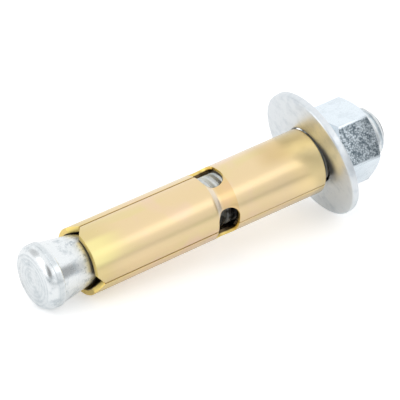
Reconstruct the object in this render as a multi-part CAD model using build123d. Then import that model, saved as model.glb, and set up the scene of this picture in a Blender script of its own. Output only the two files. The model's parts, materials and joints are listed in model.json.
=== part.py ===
from build123d import *
import math
import os

# A sleeve anchor lying on its side. Its stud carries a cone head, and a slotted sleeve, a loose
# washer and a hex nut sit on it. All lengths are in millimetres and all angles in degrees.

# Stud: one turned bar with a cone head at one end and a thread at the other
STUD_LENGTH = 75.8
THREAD_DIAMETER = 9.525
THREAD_LENGTH = 38.1
THREAD_END_CHAMFER = 1.05
SHANK_DIAMETER = 8.4
RUNOUT_LENGTH = 1.2
HEAD_DIAMETER = 12.4
HEAD_FACE_DIAMETER = 9.7
HEAD_SHOULDER_LENGTH = 1.9
HEAD_LAND_LENGTH = 1.15
CONE_STEP = 0.2
CONE_ANGLE = 11.0
CONE_FLARE_RADIUS = 77.0

# Sleeve: strip metal rolled into a tube, with slots that leave three legs
SLEEVE_DIAMETER = 12.7
SLEEVE_LENGTH = 50.7
SLEEVE_WALL = 1.2
SLEEVE_EDGE_ROUND = 0.35
LEG_END_CHAMFER = 0.15
LEG_COUNT = 3
SLOT_WIDTH = 0.28
SEAM_WIDTH = 0.12
LEG_CORNER_WIDTH = 2.1
LEG_CORNER_LENGTH = 1.6
LEG_SPREAD = 0.12
FRONT_LEG_ANGLE = 52.0
SLEEVE_HANG_ANGLE = 4.0

# Windows at the slots' inner ends, and the crease pressed into the band between the two front ones
WINDOW_SETBACK = 21.9
WINDOW_LENGTH = 4.55
WINDOW_WIDTH = 8.5
CREASE_DEPTH = 0.6
CREASE_OFFSET = 1.0
CREASE_SHOULDER_RADIUS = 1.4
CREASE_ROOT_RADIUS = 0.25

# Washer: a loose stamped disc that leans between the sleeve and the nut
WASHER_DIAMETER = 25.4
WASHER_HOLE = 11.3
WASHER_THICKNESS = 1.5
WASHER_CHAMFER = 0.3
WASHER_LEAN = 9.8

# Nut: a hexagon with both faces chamfered
NUT_ACROSS_FLATS = 14.29
NUT_HEIGHT = 8.33
NUT_FACE_DIAMETER = 13.2
NUT_CHAMFER_ANGLE = 30.0
NUT_CORNER_ROUND = 0.4
NUT_COUNTERSINK = 0.5
NUT_TURN_ANGLE = 31.8

# Radial running clearance of the thread in the nut, and the gap where loose pieces touch
THREAD_CLEARANCE = 0.05
CONTACT_GAP = 0.05

# Radii that follow from the sizes above
stud_r = THREAD_DIAMETER / 2
shank_r = SHANK_DIAMETER / 2
head_r = HEAD_DIAMETER / 2
face_r = HEAD_FACE_DIAMETER / 2
sleeve_r = SLEEVE_DIAMETER / 2
bore_r = sleeve_r - SLEEVE_WALL
washer_r = WASHER_DIAMETER / 2

# Head profile: the shoulder arc ends in line with the land, and the cone flares into the shank
shoulder_radius = (HEAD_SHOULDER_LENGTH**2 + (head_r - face_r) ** 2) / (2 * (head_r - face_r))
land_end = HEAD_SHOULDER_LENGTH + HEAD_LAND_LENGTH
flare_length = CONE_FLARE_RADIUS * math.sin(math.radians(CONE_ANGLE))
flare_r = shank_r + CONE_FLARE_RADIUS * (1 - math.cos(math.radians(CONE_ANGLE)))
cone_length = (head_r - CONE_STEP - flare_r) / math.tan(math.radians(CONE_ANGLE))
cone_start = land_end + CONE_STEP
flare_start = cone_start + cone_length
flare_end = flare_start + flare_length

# The sleeve hangs on the thread, just aside of straight down, and its spread legs seat on the flare
sleeve_drop = bore_r - stud_r - CONTACT_GAP
sleeve_x = -sleeve_drop * math.cos(math.radians(SLEEVE_HANG_ANGLE))
sleeve_y = sleeve_drop * math.sin(math.radians(SLEEVE_HANG_ANGLE))
seat_r = bore_r + LEG_SPREAD - sleeve_drop - CONTACT_GAP
seat_drop = shank_r + CONE_FLARE_RADIUS - seat_r
leg_end = flare_end - math.sqrt(CONE_FLARE_RADIUS**2 - seat_drop**2)
sleeve_end = leg_end + SLEEVE_LENGTH
window_centre = SLEEVE_LENGTH - WINDOW_SETBACK
window_near = window_centre - WINDOW_LENGTH / 2
window_far = window_centre + WINDOW_LENGTH / 2

# The washer hangs on the thread by its hole, and leans on the sleeve's rim where the hole's edge crosses it
lean_sin = math.sin(math.radians(WASHER_LEAN))
lean_cos = math.cos(math.radians(WASHER_LEAN))
half_washer = WASHER_THICKNESS / 2
hole_r = WASHER_HOLE / 2
washer_rise = hole_r * lean_cos - half_washer * lean_sin - stud_r - CONTACT_GAP
hole_x = washer_rise - half_washer * lean_sin
crossing_x = (sleeve_r**2 - sleeve_x**2 - hole_r**2 + hole_x**2) / (2 * (hole_x - sleeve_x))
lean_reach = (crossing_x - hole_x) / lean_cos
washer_centre = sleeve_end + half_washer * lean_cos + lean_reach * lean_sin + CONTACT_GAP

# The nut stands where its face meets the leaning washer's lower half
nut_face_r = NUT_FACE_DIAMETER / 2
nut_reach = (nut_face_r + washer_rise + half_washer * lean_sin) / lean_cos
nut_start = washer_centre + half_washer * lean_cos + nut_reach * lean_sin + CONTACT_GAP

# A cylinder that stands on its own origin
BASE_ALIGN = (Align.CENTER, Align.CENTER, Align.MIN)


def make_stud():
    """The stud, with its head face at the origin and its thread towards +Z."""
    runout_start = STUD_LENGTH - THREAD_LENGTH - RUNOUT_LENGTH
    shoulder = RadiusArc((face_r, 0), (head_r, HEAD_SHOULDER_LENGTH), -shoulder_radius)
    flare = RadiusArc((flare_r, flare_start), (shank_r, flare_end), CONE_FLARE_RADIUS)
    outline = Polyline(
        shoulder @ 1,
        (head_r, land_end),
        (head_r - CONE_STEP, cone_start),
        flare @ 0,
    )
    shaft = Polyline(
        flare @ 1,
        (shank_r, runout_start),
        (stud_r, runout_start + RUNOUT_LENGTH),
        (stud_r, STUD_LENGTH - THREAD_END_CHAMFER),
        (stud_r - THREAD_END_CHAMFER, STUD_LENGTH),
        (0, STUD_LENGTH),
        (0, 0),
        (face_r, 0),
    )
    profile = make_face(Curve() + [shoulder, outline, flare, shaft])
    return revolve(Plane.XZ * profile, Axis.Z)


def wall_line(radius, crease=()):
    """A wall line of the sleeve, from its spread leg end to its nut end."""
    leg = [(radius + LEG_SPREAD, 0), (radius, window_near)]
    return [*leg, *crease, (radius, SLEEVE_LENGTH)]


def window_cutter():
    """A punched window about +X: a sector of the wall with a round end at each side."""
    round_end = WINDOW_LENGTH / 2
    sector = math.degrees((WINDOW_WIDTH / 2 - round_end) / sleeve_r)
    depth = sleeve_r + SLEEVE_WALL
    slab = Plane.XZ * Rectangle(depth, WINDOW_LENGTH, align=(Align.MIN, Align.CENTER))
    middle = revolve(Rot(0, 0, -sector) * slab, Axis.Z, revolution_arc=2 * sector)
    ends = [
        Rot(0, 0, side * sector) * Rot(0, 90, 0) * Cylinder(round_end, depth, align=BASE_ALIGN)
        for side in (-1, 1)
    ]
    return Pos(0, 0, window_centre) * (middle + ends)


def slot_cutter():
    """A slot about +X from the leg end to its window, with the legs' corners cut off."""
    half = SLOT_WIDTH / 2
    corner = half + LEG_CORNER_WIDTH
    outline = Polyline(
        (-corner, 0),
        (-half, LEG_CORNER_LENGTH),
        (-half, window_centre),
        (half, window_centre),
        (half, LEG_CORNER_LENGTH),
        (corner, 0),
        close=True,
    )
    return extrude(Plane.YZ * make_face(outline), sleeve_r + SLEEVE_WALL)


def wall_section(creased):
    """Half of the sleeve's lengthwise section, through its creased band or through another one."""
    root = (sleeve_r - CREASE_DEPTH, window_centre - CREASE_OFFSET)
    outer = wall_line(sleeve_r, [root, (sleeve_r, window_far)] if creased else [])
    inner = wall_line(bore_r)
    section = make_face(Polyline(*outer, *reversed(inner), close=True))

    def corner(radius, height):
        return section.vertices().sort_by_distance((radius, height, 0))[0]

    if creased:
        section = fillet(corner(sleeve_r, window_near), CREASE_SHOULDER_RADIUS)
        section = fillet(corner(*root), CREASE_ROOT_RADIUS)
    section = fillet(corner(sleeve_r, SLEEVE_LENGTH), SLEEVE_EDGE_ROUND)
    return chamfer(corner(sleeve_r + LEG_SPREAD, 0), LEG_END_CHAMFER)


def make_sleeve():
    """The sleeve, with its leg end at the origin and its seam end towards +Z."""
    leg_pitch = 360 / LEG_COUNT
    front = revolve(Plane.XZ * wall_section(True), Axis.Z, revolution_arc=leg_pitch)
    others = revolve(Plane.XZ * wall_section(False), Axis.Z, revolution_arc=360 - leg_pitch)
    tube = Rot(0, 0, FRONT_LEG_ANGLE - leg_pitch / 2) * (front + Rot(0, 0, leg_pitch) * others)

    cutter = window_cutter() + slot_cutter()
    for leg in range(LEG_COUNT):
        tube -= Rot(0, 0, FRONT_LEG_ANGLE + (leg + 0.5) * leg_pitch) * cutter

    # The strip's two edges meet in a seam, in line with the slot below the front leg
    seam = Box(
        sleeve_r + SLEEVE_WALL,
        SEAM_WIDTH,
        SLEEVE_LENGTH - window_centre,
        align=(Align.MIN, Align.CENTER, Align.MIN),
    )
    return tube - Rot(0, 0, FRONT_LEG_ANGLE + leg_pitch / 2) * Pos(0, 0, window_centre) * seam


def make_washer():
    """The washer about the origin, with the edge of its rim broken on both faces."""
    disc = Cylinder(washer_r, WASHER_THICKNESS)
    disc = chamfer(disc.edges().filter_by(GeomType.CIRCLE), WASHER_CHAMFER)
    return disc - Cylinder(hole_r, 2 * WASHER_THICKNESS)


def make_nut():
    """The nut, with its washer face at the origin."""
    hexagon = extrude(RegularPolygon(NUT_ACROSS_FLATS / 2, 6, major_radius=False), NUT_HEIGHT)
    hexagon = fillet(hexagon.edges().filter_by(Axis.Z), NUT_CORNER_ROUND)
    corner_r = NUT_ACROSS_FLATS / math.sqrt(3)
    slope = (corner_r - nut_face_r) * math.tan(math.radians(NUT_CHAMFER_ANGLE))
    chamfers = Polyline(
        (0, 0),
        (nut_face_r, 0),
        (corner_r, slope),
        (corner_r, NUT_HEIGHT - slope),
        (nut_face_r, NUT_HEIGHT),
        (0, NUT_HEIGHT),
        close=True,
    )
    body = hexagon & revolve(Plane.XZ * make_face(chamfers), Axis.Z)
    nut_bore_r = stud_r + THREAD_CLEARANCE
    body -= Cylinder(nut_bore_r, NUT_HEIGHT, align=BASE_ALIGN)
    mouths = body.edges().filter_by(GeomType.CIRCLE).filter_by(lambda e: e.radius < nut_bore_r + 0.01)
    return chamfer(mouths, NUT_COUNTERSINK)


def lying_plane():
    """The plane whose Z is the anchor's axis once its head and its washer rest on the ground."""
    head_ball = Vector(-(head_r - shoulder_radius), HEAD_SHOULDER_LENGTH)
    half_rim = half_washer - WASHER_CHAMFER
    rim_x = washer_rise - half_rim * lean_sin - washer_r * lean_cos
    rim_z = washer_centre - half_rim * lean_cos + washer_r * lean_sin
    span = Vector(rim_x, rim_z) - head_ball
    distance = math.hypot(span.X, span.Y)
    rise = math.atan2(-span.X, span.Y) - math.asin(shoulder_radius / distance)
    along = Vector(math.cos(rise), 0, math.sin(rise))
    up = Vector(-math.sin(rise), 0, math.cos(rise))
    low = head_ball.X * up.Z + head_ball.Y * along.Z - shoulder_radius
    return Plane(origin=(0, 0, -low), x_dir=up, z_dir=along)


lean = Plane(
    origin=(washer_rise, 0, washer_centre),
    x_dir=(lean_cos, 0, -lean_sin),
    z_dir=(lean_sin, 0, lean_cos),
)
pieces = {
    "stud": make_stud(),
    "sleeve": Pos(sleeve_x, sleeve_y, leg_end) * make_sleeve(),
    "washer": lean * make_washer(),
    "nut": Pos(0, 0, nut_start) * Rot(0, 0, NUT_TURN_ANGLE) * make_nut(),
}

# The row's origin is on the ground under the middle of the whole anchor
lying = lying_plane()
box = Compound(children=[lying * piece for piece in pieces.values()]).bounding_box()
lying.origin = lying.origin - Vector(box.center().X, box.center().Y, 0)

os.makedirs("parts", exist_ok=True)
for name, piece in pieces.items():
    export_step(lying * piece, f"parts/{name}.step")
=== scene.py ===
import json
import math

import bmesh
import bpy
from bpy.props import FloatProperty, FloatVectorProperty, IntProperty, PointerProperty
from mathutils import Matrix, Vector


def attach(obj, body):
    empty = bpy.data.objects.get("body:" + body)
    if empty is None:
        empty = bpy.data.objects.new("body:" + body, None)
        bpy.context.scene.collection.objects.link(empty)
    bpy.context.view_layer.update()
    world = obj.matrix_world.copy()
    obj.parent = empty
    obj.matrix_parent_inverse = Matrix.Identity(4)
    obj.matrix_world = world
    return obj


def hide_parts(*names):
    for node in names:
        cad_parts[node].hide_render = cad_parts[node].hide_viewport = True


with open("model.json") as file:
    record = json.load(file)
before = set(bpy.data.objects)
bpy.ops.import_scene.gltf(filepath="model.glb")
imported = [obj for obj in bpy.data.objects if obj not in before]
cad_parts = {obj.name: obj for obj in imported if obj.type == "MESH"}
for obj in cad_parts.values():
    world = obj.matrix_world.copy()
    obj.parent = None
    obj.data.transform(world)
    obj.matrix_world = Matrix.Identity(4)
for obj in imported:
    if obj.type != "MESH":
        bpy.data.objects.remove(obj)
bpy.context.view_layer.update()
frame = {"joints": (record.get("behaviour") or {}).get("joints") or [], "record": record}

bl_info = {
    "name": "Sleeve Anchor",
    "version": (1, 0, 0),
    "blender": (4, 5, 0),
    "location": "View3D > Sidebar > Sleeve Anchor",
    "description": "Models a zinc plated sleeve anchor in four pieces",
    "category": "Mesh",
}

MM = 0.001
SMOOTH_ANGLE = math.radians(32)
SAME_POINT = 0.002 * MM
ON_PLANE = 0.01 * MM


# Settings


def number(name, text, value):
    """A plain number."""
    return FloatProperty(name=name, description=text, default=value)


def length(name, text, value):
    """A size in metres, given in millimetres."""
    return FloatProperty(name=name, description=text, default=value * MM, unit="LENGTH", precision=5)


def angle(name, text, value):
    """An angle, given in degrees."""
    return FloatProperty(name=name, description=text, default=math.radians(value), subtype="ANGLE")


def colour(name, text, value):
    """A linear colour."""
    return FloatVectorProperty(
        name=name, description=text, default=value, size=3, min=0, max=1, subtype="COLOR"
    )


def facets(text, value):
    """How many facets stand for a round form."""
    return IntProperty(name="Facets", description=text, default=value, min=24)


class StudSettings(bpy.types.PropertyGroup):
    length: length("Length", "Overall length of the stud, head included", 75.8)
    thread_diameter: length("Thread diameter", "Outside diameter of the thread", 9.525)
    thread_length: length("Thread length", "Length of full thread from the stud's end", 38.1)
    thread_pitch: length("Thread pitch", "Distance between the thread's turns", 1.5875)
    thread_depth: length("Thread depth", "Depth of the thread's groove", 0.93)
    end_chamfer: length("End chamfer", "Chamfer at the thread's end", 1.05)
    shank_diameter: length("Shank diameter", "Diameter of the plain shank", 8.4)
    runout: length("Runout", "Length of the slope from the shank up to the thread", 1.2)
    head_diameter: length("Head diameter", "Largest diameter of the cone head", 12.4)
    face_diameter: length("Face diameter", "Diameter of the head's flat face", 9.7)
    shoulder: length("Shoulder length", "Length of the head's round shoulder", 1.9)
    land: length("Land length", "Length of the head's straight part", 1.15)
    step: length("Cone step", "Drop in radius from the land to the cone", 0.2)
    cone_angle: angle("Cone angle", "Half angle of the cone where it leaves the head", 11)
    flare_radius: length("Flare radius", "Radius of the sweep from the cone to the shank", 77)
    line_depth: length("Line depth", "Depth of the fine line where the land starts", 0.05)
    ring_pitch: length("Ring pitch", "Distance between the tool rings on the face", 0.9)
    leg_end: length("Leg end", "From the head's face to the sleeve's leg end", 9.695)
    sleeve_end: length("Sleeve end", "From the head's face to the sleeve's nut end", 60.395)
    zinc: colour("Zinc", "Colour of the bright zinc", (0.89, 0.925, 0.94))
    zinc_dull: colour("Dull zinc", "Colour of its duller patches", (0.63, 0.685, 0.715))
    # Grey tone of the thread under the sleeve, which is also made rougher
    greyer: colour("Dusty", "Colour of the dusty thread under the sleeve", (0.52, 0.54, 0.51))
    # Near black, used as painted shade on the covered thread's lower half and in the gaps by the legs and
    # the nut end
    shade_dark: colour("Oil", "Colour of the oiled thread under the sleeve", (0.02, 0.018, 0.016))


class SleeveSettings(bpy.types.PropertyGroup):
    diameter: length("Diameter", "Outside diameter of the sleeve", 12.7)
    length: length("Length", "Length of the sleeve", 50.7)
    wall: length("Wall", "Thickness of the strip", 1.2)
    legs: IntProperty(name="Legs", description="Number of legs", default=3, min=2, max=6)
    slot_width: length("Slot width", "Gap between two legs", 0.28)
    seam_width: length("Seam width", "Gap where the strip's two edges meet", 0.12)
    corner_width: length("Corner width", "Width of the corner cut off each leg", 2.1)
    corner_length: length("Corner length", "Length of the corner cut off each leg", 1.6)
    window_setback: length("Window setback", "From the nut end to the windows' middle", 21.9)
    window_length: length("Window length", "Size of a window along the sleeve", 4.55)
    window_width: length("Window width", "Size of a window round the sleeve", 8.5)
    crease_depth: length("Crease depth", "How far the front band between the windows is pressed in", 0.6)
    crease_offset: length("Crease offset", "From the windows' middle to the crease", 1.0)
    leg_spread: length("Leg spread", "How far the legs' tips stand outwards", 0.12)
    edge_round: length("Edge round", "Radius of the outer edge at the nut end", 0.35)
    rim_round: length("Rim round", "Radius of the punched edges", 0.09)
    turn: angle("Turn", "Turn from the top to the leg opposite the seam", 292)
    gold: colour("Gold", "Colour of the yellow zinc", (0.87, 0.675, 0.39))
    olive: colour("Olive", "Colour of the greener patches", (0.83, 0.69, 0.34))
    rose: colour("Rose", "Colour of the redder patches", (0.88, 0.65, 0.46))
    # The long flank's tint is painted shade, and the steep flank's colour is a painted highlight
    pressed: colour("Pressed", "Tint of the crease's long flank", (0.97, 0.89, 0.74))
    flank_highlight: colour("Pale", "Colour of the crease's steep flank", (0.93, 0.87, 0.82))
    # Painted reflection of the washer's yellow, on the skin next to it
    washer_reflection: colour("Lemon", "Colour of the skin next to the washer", (1.0, 0.77, 0.37))
    # Painted shade on the upper side towards the nut end
    upper_shade: colour("Amber", "Tint of the upper side towards the nut end", (0.87, 0.83, 0.71))
    moss: colour("Moss", "Colour of the skin at the legs' ends", (0.78, 0.64, 0.29))
    # A painted highlight on the front leg's end
    straw_highlight: colour("Straw", "Colour of the bright patch at the front leg's end", (0.98, 0.86, 0.38))
    # Painted shade on the rounded edge next to the washer
    rim_shade: colour("End brown", "Colour of the rounded edge at the nut end", (0.17, 0.10, 0.05))
    cut_gold: colour("Cut gold", "Colour of the punched walls", (0.88, 0.66, 0.16))
    # Painted shade on the walls in the slots and the seam
    slot_shade: colour("Gap brown", "Colour of the walls in the slots and the seam", (0.36, 0.26, 0.15))
    # Painted shade on the punched walls next to the bore
    bore_shade: colour("Bore brown", "Colour of the punched walls next to the bore", (0.06, 0.04, 0.03))


class WasherSettings(bpy.types.PropertyGroup):
    diameter: length("Diameter", "Outside diameter of the washer", 25.4)
    hole: length("Hole", "Diameter of the washer's hole", 11.3)
    thickness: length("Thickness", "Thickness of the washer", 1.5)
    rolled_edge: length("Rolled edge", "Edge radius on the side where the punch went in", 0.3)
    burr_edge: length("Burr edge", "Edge radius on the side where the punch came out", 0.28)
    zinc: colour("Zinc", "Colour of the bright zinc", (0.80, 0.84, 0.87))
    zinc_dull: colour("Dull zinc", "Colour of its duller patches", (0.70, 0.75, 0.79))


class NutSettings(bpy.types.PropertyGroup):
    flats: length("Across flats", "Width across flats", 14.29)
    height: length("Height", "Height of the nut", 8.33)
    face_diameter: length("Face diameter", "Diameter of the flat ring on each face", 13.2)
    chamfer_angle: angle("Chamfer angle", "Angle of the corner chamfers", 30)
    corner_bevel: length("Corner bevel", "Width of the bevel on the six long edges", 0.108)
    rim_round: length("Rim round", "Radius of the other edges", 0.12)
    bore: length("Bore", "Diameter of the hole over the thread", 9.625)
    countersink: length("Countersink", "Depth of the hole's mouth chamfers", 0.5)
    turn: angle("Turn", "Turn of the first corner from the top", 31.8)
    zinc: colour("Zinc", "Colour of the bright zinc", (0.84, 0.92, 0.98))
    zinc_dull: colour("Dull zinc", "Colour of its duller patches", (0.76, 0.84, 0.90))
    scale: colour("Scale", "Colour of the specks on the dark flat", (0.13, 0.17, 0.20))


class StageSettings(bpy.types.PropertyGroup):
    azimuth: angle("Azimuth", "Turn of the camera round the anchor", -35.06)
    elevation: angle("Elevation", "Height of the camera above the horizon", 29.33)
    lens: number("Lens", "Focal length in millimetres", 321.4)
    distance: length("Distance", "From the camera to the point it looks at", 659)
    aim: FloatVectorProperty(
        name="Aim",
        description="Point that the camera looks at",
        default=(4.393 * MM, 8.321 * MM, 4.933 * MM),
        size=3,
        unit="LENGTH",
        precision=5,
    )
    floor: colour("Floor", "Colour of the floor", (0.86, 0.86, 0.86))
    near_floor: colour("Near floor", "Colour of the near floor in reflections", (0.84, 0.84, 0.84))
    far_floor: colour("Far floor", "Colour of the far floor in reflections", (0.50, 0.52, 0.54))
    floor_near: length("Floor near", "How far the near floor reaches", 35)
    floor_far: length("Floor far", "Where the far floor starts, in front", 110)
    floor_lift: number("Floor lift", "Glow that keeps the floor white", 0.4)
    mirror_lift: number("Mirror lift", "Share of that glow in reflections of the near floor", 0.45)
    room: number("Room", "Brightness of the white room", 1.0)
    dim: number("Dim", "Brightness of the room's dark parts", 0.27)
    dark_turn: angle("Dark turn", "Turn to the middle of the low dark stretch", 38)
    gap_turn: angle("Gap turn", "Turn to the light gap in that dark stretch", 25)
    lamp_turn: angle("Lamp turn", "Turn of the soft box round the anchor", 22.5)
    lamp_height: angle("Lamp height", "Height of the soft box above the horizon", 37)
    lamp_distance: length("Lamp distance", "From the soft box to the anchor", 900)
    lamp_width: length("Lamp width", "Width of the soft box", 560)
    lamp_depth: length("Lamp depth", "Length of the soft box's short side", 320)
    lamp_power: number("Lamp power", "Power of the soft box in watts", 0.262)


# Where the frame puts the pieces


def named(items, name):
    """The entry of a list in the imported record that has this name."""
    return next(item for item in items if item["name"] == name)


def stand(point, axis):
    """The matrix of a piece whose Z lies along the axis and whose X leans upwards."""
    z_axis = Vector(axis).normalized()
    y_axis = Vector((0, -1, 0))
    x_axis = y_axis.cross(z_axis)
    matrix = Matrix((x_axis, y_axis, z_axis)).transposed().to_4x4()
    matrix.translation = Vector(point)
    return matrix


def stud_place(stud):
    """The stud's place, from the face of its head."""
    end = named(frame["record"]["mounts"], "drive_end")
    return stand(end["pos_m"], end["axis"]) @ Matrix.Translation((0, 0, -stud.length))


def sleeve_place(sleeve):
    """The sleeve's place, from its leg end. The mount tells where its unbroken wall ends."""
    wall = named(frame["record"]["mounts"], "sleeve_wall")
    axis = -Vector(wall["axis"])
    reach = wall["dims"]["length_mm"] * MM / 2 + sleeve.edge_round - sleeve.length
    return stand(wall["pos_m"], axis) @ Matrix.Translation((0, 0, reach))


def joint_place(name):
    """The place of a piece that a hinge carries, from the hinge's point and axis."""
    hinge = named(frame["joints"], name)
    return stand(hinge["pos_m"], hinge["axis"])


# Modelling by hand


def activate(part):
    """Selects one object and nothing else."""
    bpy.ops.object.select_all(action="DESELECT")
    part.select_set(True)
    bpy.context.view_layer.objects.active = part


def start_edit(part):
    """Opens an object in edit mode with all its vertices selected."""
    activate(part)
    bpy.ops.object.mode_set(mode="EDIT")
    bpy.ops.mesh.select_mode(type="VERT")
    bpy.ops.mesh.select_all(action="SELECT")


def end_edit():
    """Goes back to object mode."""
    bpy.ops.object.mode_set(mode="OBJECT")


def apply_place(part):
    """Leaves an object at the origin, unturned and unscaled, with its place in its mesh."""
    activate(part)
    bpy.ops.object.transform_apply(location=True, rotation=True, scale=True)


def add_part(name, primitive, **values):
    """Adds an object with nothing else selected, and names it."""
    bpy.ops.object.select_all(action="DESELECT")
    primitive(**values)
    part = bpy.context.object
    part.name = name
    part.data.name = name
    return part


def add_block(name, size, centre):
    """Adds a block of a given size."""
    part = add_part(name, bpy.ops.mesh.primitive_cube_add, size=1, location=centre)
    part.scale = size
    apply_place(part)
    return part


def select_edges(part, test):
    """In edit mode, selects the edges whose two ends together pass a test."""
    bpy.ops.mesh.select_all(action="DESELECT")
    bpy.ops.mesh.select_mode(type="EDGE")
    mesh = bmesh.from_edit_mesh(part.data)
    for edge in mesh.edges:
        edge.select_set(test(edge.verts[0].co, edge.verts[1].co))
    bmesh.update_edit_mesh(part.data)


def select_edges_at(part, test):
    """In edit mode, selects the edges whose two ends each pass a test."""
    select_edges(part, lambda first, second: test(first) and test(second))


def divide(point, normal):
    """In edit mode, cuts edges into the whole mesh along a plane."""
    bpy.ops.mesh.select_all(action="SELECT")
    bpy.ops.mesh.bisect(plane_co=point, plane_no=normal)


def close_mesh():
    """In edit mode, merges doubled vertices and turns the faces outwards."""
    bpy.ops.mesh.select_mode(type="VERT")
    bpy.ops.mesh.select_all(action="SELECT")
    bpy.ops.mesh.remove_doubles(threshold=SAME_POINT)
    bpy.ops.mesh.normals_make_consistent(inside=False)


def arc(centre, radius, start, end, steps):
    """Points (radius, height) on an arc, with angles in degrees from the outward direction."""
    turns = [math.radians(start + (end - start) * step / steps) for step in range(steps + 1)]
    return [(centre[0] + radius * math.cos(t), centre[1] + radius * math.sin(t)) for t in turns]


def draw_profile(name, points):
    """Draws a profile of (radius, height) points: one vertex, extruded from point to point."""
    part = add_part(name, bpy.ops.mesh.primitive_plane_add, size=MM)
    start_edit(part)
    bpy.ops.mesh.merge(type="CENTER")
    here = Vector((0, 0, 0))
    for index, (radius, height) in enumerate(points):
        step = Vector((radius, 0, height)) - here
        if index == 0:
            bpy.ops.transform.translate(value=step)
        else:
            bpy.ops.mesh.extrude_region_move(TRANSFORM_OT_translate={"value": step})
        here += step
    end_edit()
    return part


def turn_profile(part, steps):
    """Spins a profile round Z into a closed body, as on a lathe."""
    start_edit(part)
    bpy.ops.mesh.spin(steps=steps, angle=math.tau, center=(0, 0, 0), axis=(0, 0, 1))
    close_mesh()
    end_edit()
    return part


def apply_modifier(part, kind, **values):
    """Adds a modifier, sets it and applies it."""
    activate(part)
    bpy.ops.object.modifier_add(type=kind)
    modifier = part.modifiers[-1]
    for key, value in values.items():
        setattr(modifier, key, value)
    bpy.ops.object.modifier_apply(modifier=modifier.name)


def cut(part, tool, operation="DIFFERENCE"):
    """Cuts a part with a tool and throws the tool away."""
    apply_modifier(part, "BOOLEAN", operation=operation, object=tool, solver="EXACT")
    bpy.data.objects.remove(tool, do_unlink=True)


def break_edges(part, width, sharp, clamp=True):
    """Rounds every edge that is sharper than an angle in degrees."""
    apply_modifier(
        part,
        "BEVEL",
        width=width,
        segments=2,
        limit_method="ANGLE",
        angle_limit=math.radians(sharp),
        use_clamp_overlap=clamp,
    )


def mark_faces(part, test):
    """Gives the second material to the faces whose normal passes a test."""
    for face in part.data.polygons:
        face.material_index = int(test(face.normal))


def finish_part(part, place, body, node, materials):
    """Smooths a part, puts it in its place in the frame and lets it stand for its CAD node."""
    activate(part)
    bpy.ops.object.shade_smooth_by_angle(angle=SMOOTH_ANGLE)
    part.matrix_world = place
    apply_place(part)
    for material in materials:
        part.data.materials.append(material)
    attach(part, body)
    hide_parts(node)


# Materials

PIT_GREY = (0.34, 0.37, 0.40, 1)
SCUFF_GREY = (0.36, 0.42, 0.47, 1)
# Dark grey for painted shade between touching parts
SHADE_GREY = (0.20, 0.20, 0.19, 1)
WHITE = (1, 1, 1, 1)


def opaque(values):
    """A colour with full alpha."""
    return (*values, 1.0)


class Wiring:
    """Adds nodes to a tree and links them by what feeds each socket."""

    def __init__(self, tree):
        self.tree = tree

    def node(self, kind, sockets=None, **values):
        """Adds a node. A socket is given a value, or another node's output to link from."""
        made = self.tree.nodes.new(kind)
        for key, value in values.items():
            setattr(made, key, value)
        for key, value in (sockets or {}).items():
            self.feed(made.inputs[key], value)
        return made

    def feed(self, socket, value):
        """Sets a socket, or links it to another node's output."""
        if isinstance(value, bpy.types.NodeSocket):
            self.tree.links.new(value, socket)
        else:
            socket.default_value = value

    def math(self, operation, *values):
        """One step of arithmetic."""
        made = self.node("ShaderNodeMath", dict(enumerate(values)), operation=operation)
        return made.outputs[0]

    def times(self, product, *others):
        """The product of two or more values."""
        for other in others:
            product = self.math("MULTIPLY", product, other)
        return product

    def ramp(self, value, slope, start):
        """A value times the slope, plus the start."""
        return self.math("MULTIPLY_ADD", value, slope, start)

    def band(self, value, low, high):
        """0 at low, 1 at high and beyond, and smooth between. Low may be the larger one."""
        made = self.node(
            "ShaderNodeMapRange",
            {"Value": value, "From Min": low, "From Max": high},
            interpolation_type="SMOOTHSTEP",
        )
        return made.outputs["Result"]

    def between(self, value, rise, fall):
        """1 between a rise and a fall, each given as where it is 0 and where it is 1."""
        return self.times(self.band(value, *rise), self.band(value, *fall))

    def part(self, vector, axis):
        """The X, Y or Z of a vector."""
        return self.node("ShaderNodeSeparateXYZ", {"Vector": vector}).outputs[axis]

    def vector(self, operation, *values, output="Vector"):
        """One step of vector arithmetic."""
        made = self.node("ShaderNodeVectorMath", dict(enumerate(values)), operation=operation)
        return made.outputs[output]

    def flat(self, vector):
        """A vector with no Z."""
        return self.vector("MULTIPLY", vector, (1, 1, 0))

    def size(self, vector):
        """The length of a vector."""
        return self.vector("LENGTH", vector, output="Value")

    def facing(self, vector, direction):
        """How far a vector reaches in a direction."""
        return self.vector("DOT_PRODUCT", vector, direction, output="Value")

    def noise(self, vector, patch, detail=3.0, roughness=0.5):
        """A noise value from 0 to 1, with patches of a size in metres."""
        made = self.node(
            "ShaderNodeTexNoise",
            {"Vector": vector, "Scale": 1 / patch, "Detail": detail, "Roughness": roughness},
        )
        return made.outputs["Fac"]

    def cells(self, vector, size):
        """How far it is to the middle of the nearest cell, with cells of a size in metres."""
        made = self.node("ShaderNodeTexVoronoi", {"Vector": vector, "Scale": 1 / size})
        return made.outputs["Distance"]

    def mix(self, factor, first, second, blend="MIX"):
        """A colour between two, or the first one blended with the second."""
        sockets = {0: factor, 6: first, 7: second}
        made = self.node("ShaderNodeMix", sockets, data_type="RGBA", blend_type=blend)
        return made.outputs[2]

    def bump(self, height, strength, distance):
        """The normal of a relief, whose full height is a distance in metres."""
        sockets = {"Height": height, "Strength": strength, "Distance": distance}
        return self.node("ShaderNodeBump", sockets).outputs["Normal"]


def clear_nodes(owner):
    """Empties the node tree of a material or the world, and gives its wiring."""
    owner.use_nodes = True
    owner.node_tree.nodes.clear()
    return Wiring(owner.node_tree)


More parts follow.
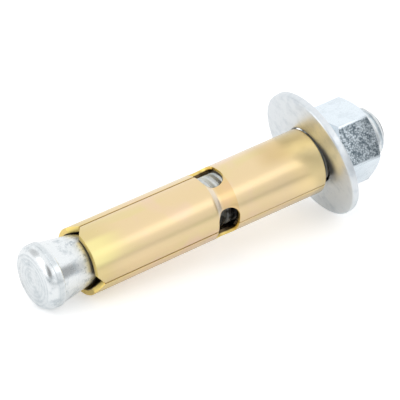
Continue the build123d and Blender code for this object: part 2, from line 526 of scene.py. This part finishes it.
def new_material(name, place):
    """A material with its wiring and the Object coordinates turned to a piece's own axes."""
    material = bpy.data.materials.new(name)
    wires = clear_nodes(material)
    position = wires.node("ShaderNodeTexCoord").outputs["Object"]
    axes = {"Vector": position, "Location": place.to_translation(), "Rotation": place.to_euler()}
    local = wires.node("ShaderNodeMapping", axes, vector_type="TEXTURE")
    return material, wires, local.outputs["Vector"]


def metal(wires, tint, roughness, normal):
    """Ends a material in a metallic Principled shader."""
    shader = wires.node(
        "ShaderNodeBsdfPrincipled",
        {"Base Color": tint, "Metallic": 1.0, "Roughness": roughness, "Normal": normal},
    )
    wires.node("ShaderNodeOutputMaterial", {"Surface": shader.outputs[0]})
    return shader


def zinc_skin():
    """The group for bright zinc, built once: soft blotches, fine pits and patches of scuffs."""
    groups = bpy.data.node_groups
    if "zinc_skin" in groups:
        return groups["zinc_skin"]
    tree = groups.new("zinc_skin", "ShaderNodeTree")
    for side, kind, *labels in (
        ("INPUT", "NodeSocketVector", "Vector"),
        ("INPUT", "NodeSocketColor", "Bright", "Dull"),
        ("INPUT", "NodeSocketFloat", "Relief", "Matte", "Scuff"),
        ("OUTPUT", "NodeSocketColor", "Color"),
        ("OUTPUT", "NodeSocketFloat", "Roughness"),
        ("OUTPUT", "NodeSocketVector", "Normal"),
    ):
        for label in labels:
            tree.interface.new_socket(name=label, in_out=side, socket_type=kind)
    given = tree.nodes.new("NodeGroupInput").outputs
    result = tree.nodes.new("NodeGroupOutput").inputs
    wires = Wiring(tree)
    vector = given["Vector"]
    blotches = wires.band(wires.noise(vector, 2.2 * MM, 6, 0.62), 0.46, 0.70)
    grain = wires.noise(vector, 0.18 * MM, 4, 0.6)
    pitted = wires.band(wires.noise(vector, 1.6 * MM, 2), 0.60, 0.66)
    pits = wires.times(wires.band(wires.cells(vector, 0.5 * MM), 0.22, 0.05), pitted)
    scuffs = wires.band(wires.noise(vector, 0.8 * MM, 5, 0.7), 0.50, 0.62)
    tint = wires.mix(blotches, given["Bright"], given["Dull"])
    tint = wires.mix(wires.times(pits, 0.35), tint, PIT_GREY)
    tint = wires.mix(wires.times(scuffs, given["Scuff"]), tint, SCUFF_GREY)
    rough = wires.math("ADD", wires.ramp(grain, 0.10, 0.17), given["Matte"])
    height = wires.ramp(pits, -0.6, wires.ramp(grain, 0.3, given["Relief"]))
    wires.feed(result["Color"], tint)
    wires.feed(result["Roughness"], wires.ramp(blotches, 0.06, rough))
    wires.feed(result["Normal"], wires.bump(height, 0.25, 0.01 * MM))
    return tree


def use_zinc(wires, local, settings, **sockets):
    """Places the group for bright zinc with a piece's colours, and gives its outputs."""
    sockets["Vector"] = local
    sockets["Bright"] = opaque(settings.zinc)
    sockets["Dull"] = opaque(settings.zinc_dull)
    return wires.node("ShaderNodeGroup", sockets, node_tree=zinc_skin()).outputs


def stud_material(stud, place):
    """Bright zinc on turned steel: tool rings on the face, a greyer covered thread, and painted shade on
    the covered thread's lower half and in the gaps.
    """
    material, wires, local = new_material("bright_zinc_stud", place)
    height = wires.part(local, "Z")
    start, end = stud.leg_end, stud.sleeve_end

    # The face's tool rings, and the scuffed cone ahead of the legs
    wave = {"Vector": local, "Scale": math.pi / 10 / stud.ring_pitch, "Distortion": 0.8}
    wave.update({"Detail": 2.0, "Detail Scale": 0.004 / MM})
    rings = wires.node("ShaderNodeTexWave", wave, wave_type="RINGS", rings_direction="Z").outputs["Fac"]
    on_face = wires.band(height, 0.12 * MM, 0.04 * MM)
    scuffed = wires.between(height, (start - 4.5 * MM, start - 1.5 * MM), (start + 1 * MM, start))
    matte, scuff = wires.times(scuffed, 0.2), wires.times(scuffed, 0.6)
    skin = use_zinc(wires, local, stud, Relief=wires.times(rings, on_face), Matte=matte, Scuff=scuff)
    kept = wires.ramp(wires.band(wires.noise(local, 3.0 * MM), 0.35, 0.65), 0.5, 0.15)
    grooves = wires.times(wires.ramp(rings, kept, 0.15), on_face)
    tint = wires.mix(grooves, skin["Color"], opaque(stud.zinc_dull))

    # The dull land round the head
    shoulder, land_end = stud.shoulder, stud.shoulder + stud.land
    land = wires.between(height, (shoulder - 0.6 * MM, shoulder), (land_end, land_end - 0.5 * MM))
    land = wires.times(land, wires.ramp(wires.noise(local, 1.5 * MM), 0.7, 0.2))
    tint = wires.mix(land, tint, opaque(stud.zinc_dull))

    # The covered thread is greyer and rougher. Its lower half gets near black painted shade, with less of
    # it on the crests in patches so thin highlights show there
    thread_start = stud.length - stud.thread_length
    thread_r = stud.thread_diameter / 2
    on_thread = wires.band(height, thread_start - 3 * MM, thread_start - 2 * MM)
    covered = wires.band(height, end + 2 * MM, end)
    under = wires.band(wires.part(local, "X"), 0.2 * stud.shank_diameter, 0)
    crest = wires.band(wires.size(wires.flat(local)), thread_r - 0.10 * MM, thread_r - 0.02 * MM)
    lit_crests = wires.times(crest, wires.band(wires.noise(local, 2.5 * MM), 0.50, 0.58))
    shaded = wires.times(under, covered, on_thread, wires.ramp(lit_crests, -0.18, 0.98))
    greyer = wires.times(on_thread, covered, 0.45)
    tint = wires.mix(greyer, tint, opaque(stud.greyer))
    tint = wires.mix(shaded, tint, opaque(stud.shade_dark))

    # Painted shade in the gaps where the legs lie on the flare, and at the sleeve's nut end
    by_legs = wires.between(height, (start - 1.2 * MM, start + 0.5 * MM), (start + 6 * MM, start))
    by_nut = wires.between(height, (end - 1.5 * MM, end - 0.5 * MM), (end + 5 * MM, end + 3 * MM))
    gap_shade = wires.times(wires.math("ADD", by_legs, by_nut), 0.6)
    tint = wires.mix(gap_shade, tint, opaque(stud.shade_dark))
    rough = wires.ramp(on_thread, 0.15, skin["Roughness"])
    metal(wires, tint, wires.ramp(greyer, 0.4, rough), skin["Normal"])
    return material


def plain_zinc(name, settings, place, matte, shade_within):
    """Bright zinc on a pressed part, with painted shade inside a radius on the side of the head, where it
    meets the next part.
    """
    material, wires, local = new_material(name, place)
    skin = use_zinc(wires, local, settings, Matte=matte)
    inside = wires.band(wires.size(wires.flat(local)), shade_within, shade_within - 0.5 * MM)
    near = wires.times(inside, wires.band(wires.part(local, "Z"), 1 * MM, 0))
    # Painted shade where this face meets the next part
    tint = wires.mix(near, skin["Color"], SHADE_GREY)
    metal(wires, tint, skin["Roughness"], skin["Normal"])
    return material


def dark_flat_material(nut, place):
    """The nut's rough flat: dark specks of scale in the zinc, with a clean border."""
    material, wires, local = new_material("bright_zinc_rough_flat", place)
    coarse = wires.noise(local, 1.1 * MM, 9, 0.85)
    specks = wires.band(wires.ramp(wires.cells(local, 0.34 * MM), -0.3, coarse), 0.20, 0.58)
    across = wires.math("ABSOLUTE", wires.part(local, "Y"))
    along = wires.math("ABSOLUTE", wires.part(local, "Z"))
    inside = wires.times(
        wires.band(across, 0.275 * nut.flats, 0.245 * nut.flats),
        wires.band(along, 0.47 * nut.height, 0.43 * nut.height),
    )
    rough_tint = wires.mix(specks, opaque(nut.scale), opaque(nut.zinc_dull))
    tint = wires.mix(inside, opaque(nut.zinc), rough_tint)
    metal(wires, tint, 0.3, wires.bump(wires.times(coarse, inside), 0.6, 0.08 * MM))
    return material


def window_span(sleeve):
    """Where the windows start, have their middle and end, from the legs' ends."""
    middle = sleeve.length - sleeve.window_setback
    half = sleeve.window_length / 2
    return middle - half, middle, middle + half


def front_of(sleeve):
    """The direction of the front leg in the sleeve's own axes."""
    turn = sleeve.turn + math.tau / sleeve.legs
    return Vector((math.cos(turn), math.sin(turn), 0))


def crease_masks(wires, local, sleeve):
    """Marks the crease's long flank and its steep flank, on the front leg, for painted shade and a
    painted highlight.
    """
    near, middle, far = window_span(sleeve)
    root = middle - sleeve.crease_offset
    height = wires.part(local, "Z")
    ahead = wires.facing(local, front_of(sleeve))
    ahead = wires.band(ahead, 0.40 * sleeve.diameter, 0.44 * sleeve.diameter)
    return [
        wires.times(wires.between(height, (low, low + rise), (high, high - 0.05 * MM)), ahead)
        for low, rise, high in ((root, 0.6 * MM, far), (near, 0.3 * MM, root))
    ]


def narrow_mask(wires, local, sleeve):
    """Marks the walls in the slots and the seam, where little light gets in."""
    near, _, far = window_span(sleeve)
    fade = 0.2 * MM
    height = wires.part(local, "Z")
    slots, seam = (
        wires.between(height, (low, low + fade), (high, high - fade))
        for low, high in ((sleeve.corner_length, near), (far, sleeve.length - fade))
    )
    return wires.math("ADD", slots, seam)


def yellow_zinc(sleeve, place):
    """Yellow zinc on rolled strip: hues drift in patches and towards the legs' ends, over faint roll
    lines, with painted shade, painted highlights and a painted reflection of the washer.
    """
    material, wires, local = new_material("yellow_zinc_skin", place)
    height = wires.part(local, "Z")
    drawn_out = wires.vector("MULTIPLY", local, (1, 1, 0.22))
    olive = wires.band(wires.noise(drawn_out, 3.0 * MM, 2), 0.48, 0.70)
    rose = wires.band(wires.noise(local, 6.0 * MM, 2), 0.50, 0.72)
    # Masks for painted shade on the long flank and a painted highlight on the steep flank
    long_flank, steep_flank = crease_masks(wires, local, sleeve)

    end = sleeve.length
    # Painted reflection of the washer's yellow, on the skin next to it
    by_washer = wires.band(height, end - 10 * MM, end - 3 * MM)
    # Painted shade on the upper side towards the nut end
    upper = wires.facing(local, Vector((1, 0, 0)))
    upper = wires.band(upper, 0.34 * sleeve.diameter, 0.46 * sleeve.diameter)
    upper = wires.times(upper, wires.band(height, end - 14 * MM, end - 9 * MM))
    by_head = wires.band(height, 9 * MM, 1 * MM)
    # A painted highlight where the light falls on the front leg's end
    lit_crown = wires.facing(local, front_of(sleeve))
    lit_crown = wires.band(lit_crown, 0.45 * sleeve.diameter, 0.49 * sleeve.diameter)
    # Painted shade on the rounded rim next to the washer
    rim = wires.band(height, end - sleeve.edge_round, end - 0.2 * sleeve.edge_round)

    tint = opaque(sleeve.gold)
    for mask, tone, blend in (
        (wires.times(olive, 0.7), sleeve.olive, "MIX"),
        (wires.times(rose, 0.7), sleeve.rose, "MIX"),
        (long_flank, sleeve.pressed, "MULTIPLY"),
        (wires.times(steep_flank, 0.5), sleeve.flank_highlight, "MIX"),
        (wires.times(by_washer, 0.8), sleeve.washer_reflection, "MIX"),
        (upper, sleeve.upper_shade, "MULTIPLY"),
        (wires.times(by_head, 0.8), sleeve.moss, "MIX"),
        (wires.times(by_head, lit_crown), sleeve.straw_highlight, "MIX"),
        (wires.times(rim, 0.8), sleeve.rim_shade, "MIX"),
    ):
        tint = wires.mix(mask, tint, opaque(tone), blend)
    lines = wires.noise(drawn_out, 0.20 * MM, 4, 0.6)
    rough = wires.ramp(lines, 0.12, 0.24)
    shader = metal(wires, tint, rough, wires.bump(lines, 0.2, 0.006 * MM))
    shader.inputs["Coat Weight"].default_value = 0.8
    shader.inputs["Coat Roughness"].default_value = 0.2
    return material


def cut_edge(sleeve, place):
    """Yellow zinc on the punched walls: more golden, with brown painted shade near the bore and in the
    slots.
    """
    material, wires, local = new_material("yellow_zinc_cut_edge", place)
    drag = wires.noise(local, 0.3 * MM, 4, 0.6)
    tint = wires.mix(wires.times(drag, 0.5), opaque(sleeve.cut_gold), opaque(sleeve.gold))
    # Painted shade on the walls in the slots and the seam
    narrow = wires.times(narrow_mask(wires, local, sleeve), 0.5)
    tint = wires.mix(narrow, tint, opaque(sleeve.slot_shade))
    # Painted shade next to the bore, in a wider strip past the legs' ends
    bore_r = sleeve.diameter / 2 - sleeve.wall
    past_ends = wires.band(wires.part(local, "Z"), 4 * MM, 8 * MM)
    reach = wires.ramp(past_ends, -0.35 * MM, wires.size(wires.flat(local)))
    inner = wires.band(reach, bore_r + 0.40 * MM, bore_r + 0.20 * MM)
    tint = wires.mix(wires.times(inner, 0.95), tint, opaque(sleeve.bore_shade))
    metal(wires, tint, 0.3, wires.bump(drag, 0.5, 0.03 * MM))
    return material


# Stud


class MESH_OT_anchor_stud(bpy.types.Operator):
    """Turn the stud with its cone head and roll its thread"""

    bl_idname = "mesh.anchor_stud"
    bl_label = "Stud"
    steps: facets("Facets round the stud", 96)

    def outline(self, stud):
        """Half of the stud's outline, from the middle of its face to the middle of its end."""
        head_r, face_r = stud.head_diameter / 2, stud.face_diameter / 2
        shank_r, thread_r = stud.shank_diameter / 2, stud.thread_diameter / 2
        drop = head_r - face_r
        shoulder_r = (stud.shoulder**2 + drop**2) / (2 * drop)
        sweep = math.degrees(math.asin(stud.shoulder / shoulder_r))
        points = [(0, 0), (0.3 * face_r, 0)]
        points += arc((head_r - shoulder_r, stud.shoulder), shoulder_r, -sweep, 0, steps=14)
        land_end = stud.shoulder + stud.land
        cone_start = land_end + stud.step
        line = stud.line_depth
        points += [
            (head_r - line, stud.shoulder + line),
            (head_r, stud.shoulder + 2 * line),
            (head_r, land_end),
            (head_r - stud.step, cone_start),
        ]
        rise = stud.flare_radius * (1 - math.cos(stud.cone_angle))
        cone_drop = head_r - stud.step - shank_r - rise
        flare_start = cone_start + cone_drop / math.tan(stud.cone_angle)
        flare_end = flare_start + stud.flare_radius * math.sin(stud.cone_angle)
        tilt = math.degrees(stud.cone_angle)
        centre = (shank_r + stud.flare_radius, flare_end)
        points += arc(centre, stud.flare_radius, 180 + tilt, 180, steps=12)
        run_end = stud.length - stud.thread_length
        points += [
            (shank_r, run_end - stud.runout),
            (thread_r, run_end),
            (thread_r, stud.length - stud.end_chamfer),
            (thread_r - stud.end_chamfer, stud.length),
            (0, stud.length),
        ]
        return points

    def groove(self, stud):
        """The thread's groove as a body: a V profile on a helix, closed at both ends."""
        flank = math.radians(30)
        overshoot = 0.12 * MM
        thread_r = stud.thread_diameter / 2
        root_r = thread_r - stud.thread_depth
        lip_r = thread_r + overshoot
        root_half = 0.1 * stud.thread_pitch
        lip_half = root_half + (lip_r - root_r) * math.tan(flank)
        start = stud.length - stud.thread_length - 0.4 * stud.thread_pitch
        profile = [(root_r, start - root_half), (lip_r, start - lip_half)]
        profile += [(lip_r, start + lip_half), (root_r, start + root_half)]
        tool = draw_profile("thread_groove", profile)
        start_edit(tool)
        bpy.ops.mesh.edge_face_add()
        end_edit()
        apply_modifier(
            tool,
            "SCREW",
            angle=math.tau,
            screw_offset=stud.thread_pitch,
            iterations=math.ceil(stud.thread_length / stud.thread_pitch) + 1,
            steps=self.steps,
            render_steps=self.steps,
            use_normal_calculate=True,
        )
        start_edit(tool)
        close_mesh()
        end_edit()
        return tool

    def execute(self, context):
        stud = context.scene.anchor_stud
        part = turn_profile(draw_profile("threaded_stud", self.outline(stud)), self.steps)
        cut(part, self.groove(stud))
        place = stud_place(stud)
        finish_part(part, place, "stud_body", "stud", [stud_material(stud, place)])
        return {"FINISHED"}


# Sleeve


class MESH_OT_anchor_sleeve(bpy.types.Operator):
    """Press, punch and roll the sleeve from a strip"""

    bl_idname = "mesh.anchor_sleeve"
    bl_label = "Sleeve"
    columns: facets("Facets round the sleeve", 120)

    def press(self, part, sleeve):
        """Presses a crease across the front leg's band, row by row, and spreads the legs."""
        near, middle, far = window_span(sleeve)
        root = middle - sleeve.crease_offset
        # Each row's height on the strip and its share of the depth, with a round shoulder first
        shoulder = 0.31 * MM
        rows = {
            near - 2 * shoulder: 0,
            near - shoulder: 0,
            near - 0.5 * shoulder: 0.016,
            near: 0.065,
            near + 0.5 * shoulder: 0.143,
            near + shoulder: 0.243,
            root - 0.1 * MM: 0.93,
            root: 0.985,
            root + 0.12 * MM: 0.96,
            far - 0.1 * MM: 0.03,
            far: 0,
            far + 0.1 * MM: 0,
        }
        front_slot = math.pi * sleeve.diameter * (0.5 - 1 / sleeve.legs)
        start_edit(part)
        for side in (-1, 1):
            divide((front_slot + side * 0.3 * sleeve.slot_width, 0, 0), (1, 0, 0))
        for height in rows:
            divide((0, 0, height), (0, 0, 1))
        for height, share in rows.items():
            select_edges_at(
                part,
                lambda point: point.x > front_slot
                and abs(point.z - height) < ON_PLANE
                and abs(point.y) < ON_PLANE,
            )
            bpy.ops.transform.translate(value=(0, share * sleeve.crease_depth, 0))
        select_edges_at(part, lambda point: point.z < ON_PLANE)
        bpy.ops.transform.translate(value=(0, -sleeve.leg_spread, 0))
        end_edit()

    def punch(self, part, size, centre, round_ends=False, flare=1.0):
        """Punches one hole: a block, with round ends or with a flared foot if asked."""
        tool = add_block("punch", size, centre)
        start_edit(tool)
        if round_ends:
            select_edges(tool, lambda first, second: abs(first.y - second.y) > size[1] / 2)
            bpy.ops.mesh.bevel(offset=0.4999 * size[2], segments=14, affect="EDGES")
        if flare != 1:
            select_edges_at(tool, lambda point: point.z < centre[2])
            bpy.ops.transform.resize(value=(flare, 1, 1))
        end_edit()
        cut(part, tool)

    def soften(self, part, sleeve):
        """Rounds the nut end's outer edge, marks the punched walls and breaks every sharp edge."""
        start_edit(part)
        close_mesh()
        select_edges_at(part, lambda point: point.z > sleeve.length - ON_PLANE and point.y < ON_PLANE)
        bpy.ops.mesh.bevel(offset=sleeve.edge_round, segments=5, affect="EDGES")
        end_edit()
        mark_faces(part, lambda normal: abs(normal.y) < 0.2)
        break_edges(part, sleeve.rim_round, sharp=50, clamp=False)

    def roll(self, part, sleeve, width):
        """Divides the strip into columns and rolls it into a tube about Z."""
        start_edit(part)
        for column in range(1, self.columns):
            divide(((column / self.columns - 0.5) * width, 0, 0), (1, 0, 0))
        end_edit()
        radius = sleeve.diameter / 2
        apply_modifier(part, "SIMPLE_DEFORM", deform_method="BEND", deform_axis="Z", angle=width / radius)
        start_edit(part)
        bpy.ops.transform.translate(value=(0, -radius, 0))
        end_edit()
        part.matrix_world = Matrix.Rotation(sleeve.turn + math.radians(90), 4, "Z")
        apply_place(part)

    def execute(self, context):
        sleeve = context.scene.anchor_sleeve
        round_length = math.pi * sleeve.diameter
        width = round_length - sleeve.seam_width
        # The flat strip, with its outer side on the plane y = 0
        strip = (width, sleeve.wall, sleeve.length)
        part = add_block("slotted_sleeve", strip, (0, sleeve.wall / 2, sleeve.length / 2))
        self.press(part, sleeve)
        _, middle, _ = window_span(sleeve)
        slot, deep = sleeve.slot_width, 4 * sleeve.wall
        flare = 2 * (slot + 2 * sleeve.corner_width) / slot - 1
        for index in range(sleeve.legs + 1):
            x = (index - sleeve.legs / 2) * (round_length / sleeve.legs)
            self.punch(part, (slot, deep, 2 * middle), (x, 0, 0))
            self.punch(part, (slot, deep, 2 * sleeve.corner_length), (x, 0, 0), flare=flare)
            window = (sleeve.window_width, deep, sleeve.window_length)
            self.punch(part, window, (x, 0, middle), round_ends=True)
        self.soften(part, sleeve)
        self.roll(part, sleeve, width)
        place = sleeve_place(sleeve)
        skins = [yellow_zinc(sleeve, place), cut_edge(sleeve, place)]
        finish_part(part, place, "sleeve_body", "sleeve", skins)
        return {"FINISHED"}


# Washer


class MESH_OT_anchor_washer(bpy.types.Operator):
    """Stamp the washer, with one rolled and one burred side"""

    bl_idname = "mesh.anchor_washer"
    bl_label = "Washer"
    steps: facets("Facets round the washer", 144)

    def execute(self, context):
        washer = context.scene.anchor_washer
        rim, hole = washer.diameter / 2, washer.hole / 2
        half, roll, burr = washer.thickness / 2, washer.rolled_edge, washer.burr_edge
        points = arc((rim - burr, -half + burr), burr, -90, 0, steps=3)
        points += arc((rim - roll, half - roll), roll, 0, 90, steps=6)
        points += arc((hole + roll, half - roll), roll, 90, 180, steps=5)
        points += arc((hole + burr, -half + burr), burr, 180, 270, steps=3)
        points.append(points[0])
        part = turn_profile(draw_profile("flat_washer", points), self.steps)
        place = joint_place("washer_turn")
        skin = plain_zinc("bright_zinc_washer_skin", washer, place, matte=0.12, shade_within=hole + 0.4 * MM)
        finish_part(part, place, "washer_body", "washer", [skin])
        return {"FINISHED"}


# Nut


class MESH_OT_anchor_nut(bpy.types.Operator):
    """Model the hex nut with its chamfered corners and countersunk hole"""

    bl_idname = "mesh.anchor_nut"
    bl_label = "Nut"
    steps: facets("Facets round the nut's hole", 96)

    def execute(self, context):
        nut = context.scene.anchor_nut
        half, face_r = nut.height / 2, nut.face_diameter / 2
        bar = {"vertices": 6, "radius": nut.flats / math.sqrt(3), "depth": nut.height}
        part = add_part("hex_nut", bpy.ops.mesh.primitive_cylinder_add, **bar)
        start_edit(part)
        select_edges(part, lambda first, second: abs(first.z - second.z) > half)
        bpy.ops.mesh.bevel(offset=nut.corner_bevel, segments=4, affect="EDGES")
        end_edit()
        rim = 0.6 * nut.flats
        slope = (rim - face_r) * math.tan(nut.chamfer_angle)
        cones = [(0, -half), (face_r, -half), (rim, slope - half)]
        cones += [(rim, half - slope), (face_r, half), (0, half)]
        cut(part, turn_profile(draw_profile("corner_cones", cones), self.steps), "INTERSECT")
        bore, sink, over = nut.bore / 2, nut.countersink, 0.5 * MM
        drill = [(0, -half - over), (bore + sink + over, -half - over), (bore, sink - half)]
        drill += [(bore, half - sink), (bore + sink + over, half + over), (0, half + over)]
        cut(part, turn_profile(draw_profile("drill", drill), self.steps))
        break_edges(part, nut.rim_round, sharp=28)
        mark_faces(part, lambda normal: normal.x > 0.99)
        place = joint_place("nut_turn") @ Matrix.Rotation(nut.turn + math.radians(30), 4, "Z")
        plain = plain_zinc("bright_zinc_nut_skin", nut, place, matte=0.0, shade_within=face_r)
        skins = [plain, dark_flat_material(nut, place)]
        finish_part(part, place, "nut_body", "nut", skins)
        return {"FINISHED"}


# Stage

# Turn, height and half width in degrees of each dark card in the room, and how dark it is
DARK_CARDS = ((-46, 31, 29, 1.0), (-141, 38, 30, 0.5))
LEFT_TURN, LEFT_HEIGHT = math.radians(-86), math.radians(32)


def towards(turn, height=0.0):
    """The direction of a turn and a height. No turn is -Y, and a quarter turn is +X."""
    level = math.cos(height)
    return Vector((math.sin(turn) * level, -math.cos(turn) * level, math.sin(height)))


def look(turn, height, distance, aim):
    """The matrix of a camera or lamp that looks at a point from a direction."""
    back = towards(turn, height)
    matrix = (-back).to_track_quat("-Z", "Y").to_matrix().to_4x4()
    matrix.translation = Vector(aim) + back * distance
    return matrix


class SCENE_OT_anchor_stage(bpy.types.Operator):
    """Set the floor, the soft studio light and the camera"""

    bl_idname = "scene.anchor_stage"
    bl_label = "Stage"

    def add_floor(self, stage):
        """A white floor that keeps the anchor's shadow, and is greyer in front in reflections."""
        floor = add_part("floor", bpy.ops.mesh.primitive_plane_add, size=3, location=(0, 0, 0))
        material = bpy.data.materials.new("floor_white")
        wires = clear_nodes(material)
        position = wires.node("ShaderNodeTexCoord").outputs["Object"]
        in_front = wires.band(wires.part(position, "Y"), 0, -30 * MM)
        far = wires.band(wires.size(position), stage.floor_near, stage.floor_far)
        far = wires.times(far, in_front)
        path = wires.node("ShaderNodeLightPath").outputs
        mirrored = wires.mix(far, opaque(stage.near_floor), opaque(stage.far_floor))
        tint = wires.mix(path["Is Glossy Ray"], opaque(stage.floor), mirrored)
        paint = wires.node("ShaderNodeBsdfDiffuse", {"Color": tint})
        direct = wires.math("MAXIMUM", path["Is Camera Ray"], path["Is Transmission Ray"])
        close = wires.times(path["Is Glossy Ray"], wires.math("SUBTRACT", 1.0, far))
        lift = wires.times(wires.ramp(close, stage.mirror_lift, direct), stage.floor_lift)
        glow = wires.node("ShaderNodeEmission", {"Color": WHITE, "Strength": lift})
        both = wires.node("ShaderNodeAddShader", {0: paint.outputs[0], 1: glow.outputs[0]})
        wires.node("ShaderNodeOutputMaterial", {"Surface": both.outputs[0]})
        floor.data.materials.append(material)

    def add_world(self, stage):
        """A white room with a dark stretch, two dark cards and a lighter left side."""
        world = bpy.data.worlds.new("white_room")
        bpy.context.scene.world = world
        wires = clear_nodes(world)
        direction = wires.node("ShaderNodeTexCoord").outputs["Generated"]
        level = wires.vector("NORMALIZE", wires.flat(direction))
        # Limits are the sine of a height, or the cosine of an angle from a patch's middle
        low = wires.band(wires.part(direction, "Z"), 0.56, 0.40)
        stretch = wires.band(wires.facing(level, towards(stage.dark_turn)), 0.86, 0.94)
        gap = wires.band(wires.facing(level, towards(stage.gap_turn)), 0.94, 0.985)
        dark = wires.times(low, stretch, wires.ramp(gap, -0.85, 1.0))
        for turn, height, half_width, strength in DARK_CARDS:
            edge = math.radians(half_width)
            close = wires.facing(direction, towards(math.radians(turn), math.radians(height)))
            card = wires.band(close, math.cos(edge), math.cos(edge / 2))
            dark = wires.math("MAXIMUM", dark, wires.times(card, strength))
        shade = wires.ramp(dark, stage.dim - stage.room, stage.room)
        left = wires.band(wires.facing(direction, towards(LEFT_TURN, LEFT_HEIGHT)), 0.82, 0.96)
        shade = wires.ramp(left, 0.6, shade)
        background = wires.node("ShaderNodeBackground", {"Color": WHITE, "Strength": shade})
        wires.node("ShaderNodeOutputWorld", {"Surface": background.outputs["Background"]})

    def add_lamp(self, stage):
        """A soft box that looks at the anchor."""
        lamp = add_part("front_softbox", bpy.ops.object.light_add, type="AREA")
        lamp.data.shape = "RECTANGLE"
        lamp.data.size, lamp.data.size_y = stage.lamp_width, stage.lamp_depth
        lamp.data.energy = stage.lamp_power
        lamp.matrix_world = look(stage.lamp_turn, stage.lamp_height, stage.lamp_distance, (0, 0, 0))

    def add_camera(self, stage):
        """The camera, which looks at the aim."""
        camera = add_part("camera", bpy.ops.object.camera_add)
        camera.data.lens = stage.lens
        camera.data.sensor_width = 36
        camera.data.clip_start, camera.data.clip_end = 0.05, 20
        camera.matrix_world = look(stage.azimuth, stage.elevation, stage.distance, stage.aim)
        bpy.context.scene.camera = camera

    def execute(self, context):
        stage = context.scene.anchor_stage
        self.add_floor(stage)
        self.add_world(stage)
        self.add_lamp(stage)
        self.add_camera(stage)
        context.scene.view_settings.view_transform = "Standard"
        return {"FINISHED"}


# Panel and registration


class VIEW3D_PT_anchor(bpy.types.Panel):
    """Lists the anchor's pieces"""

    bl_label = "Sleeve Anchor"
    bl_space_type = "VIEW_3D"
    bl_region_type = "UI"
    bl_category = "Sleeve Anchor"

    def draw(self, context):
        for operator in OPERATORS:
            self.layout.operator(operator.bl_idname)


OPERATORS = (
    SCENE_OT_anchor_stage,
    MESH_OT_anchor_stud,
    MESH_OT_anchor_sleeve,
    MESH_OT_anchor_washer,
    MESH_OT_anchor_nut,
)
SETTINGS = {
    "anchor_stage": StageSettings,
    "anchor_stud": StudSettings,
    "anchor_sleeve": SleeveSettings,
    "anchor_washer": WasherSettings,
    "anchor_nut": NutSettings,
}


def register():
    for kind in (*SETTINGS.values(), *OPERATORS, VIEW3D_PT_anchor):
        bpy.utils.register_class(kind)
    for name, kind in SETTINGS.items():
        setattr(bpy.types.Scene, name, PointerProperty(type=kind))


def unregister():
    for name in SETTINGS:
        delattr(bpy.types.Scene, name)
    for kind in reversed((*SETTINGS.values(), *OPERATORS, VIEW3D_PT_anchor)):
        bpy.utils.unregister_class(kind)


def main():
    """Registers the add-on and makes every piece."""
    register()
    bpy.ops.scene.anchor_stage()
    bpy.ops.mesh.anchor_stud()
    bpy.ops.mesh.anchor_sleeve()
    bpy.ops.mesh.anchor_washer()
    bpy.ops.mesh.anchor_nut()


if __name__ == "__main__":
    main()
